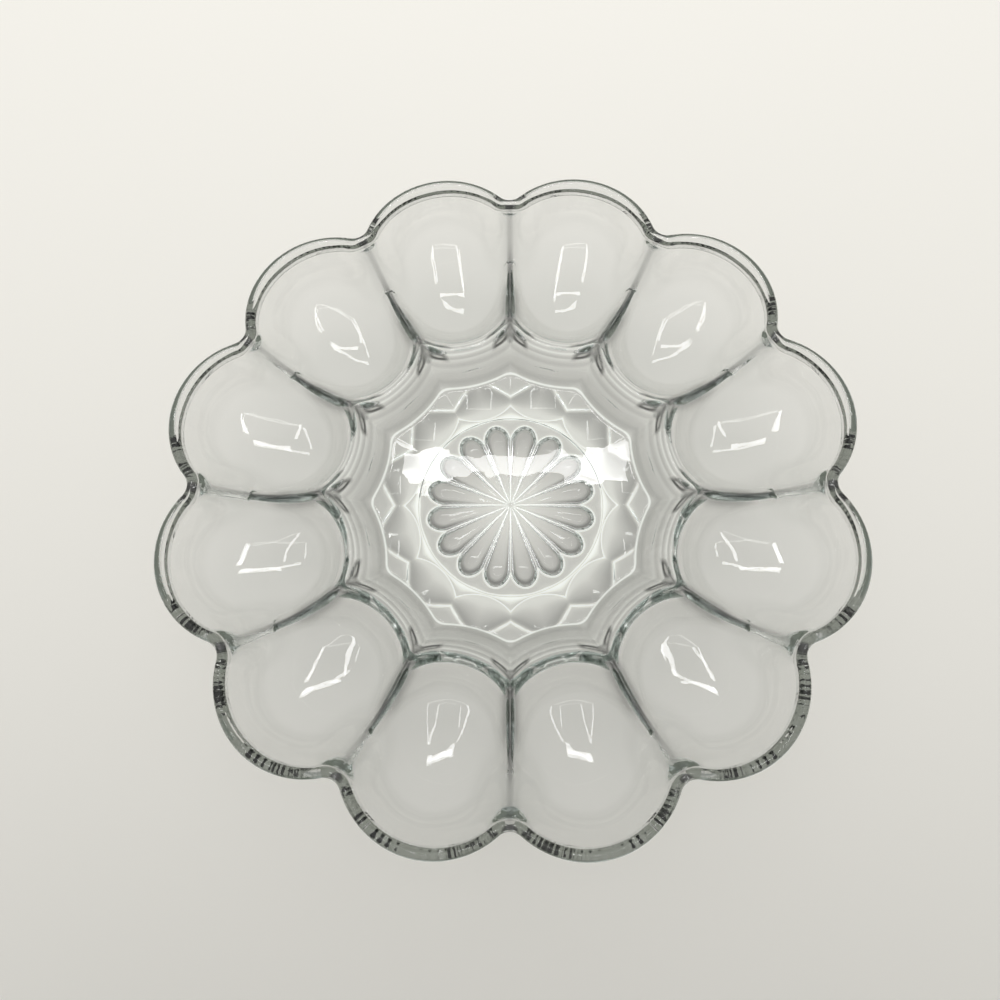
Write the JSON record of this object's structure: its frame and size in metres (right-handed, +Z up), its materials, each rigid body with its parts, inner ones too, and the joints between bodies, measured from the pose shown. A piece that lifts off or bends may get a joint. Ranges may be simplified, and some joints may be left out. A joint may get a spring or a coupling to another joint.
{
  "type": "deviled egg platter",
  "caption": "Round pressed-glass platter with a scalloped rim, open egg cups set in a ring and a shallow centre dish with a traditional star pressed into its underside.",
  "frame": {"origin": "on the surface that the platter stands on, under its centre", "axes": "+Z up along the platter's round axis; +X through a notch of the rim, +Y through the notch a quarter turn on"},
  "size_m": [0.2436, 0.2436, 0.032],
  "materials": {
    "glass": "clear pressed glass with a faint green cast in thick edges, fire-polished"
  },
  "bodies": {
    "root": {"egg_cup_01": "glass", "egg_cup_02": "glass", "egg_cup_03": "glass", "egg_cup_04": "glass", "egg_cup_05": "glass", "egg_cup_06": "glass", "egg_cup_07": "glass", "egg_cup_08": "glass", "egg_cup_09": "glass", "egg_cup_10": "glass", "egg_cup_11": "glass", "egg_cup_12": "glass", "centre_dish": "glass"}
  },
  "joints": []
}
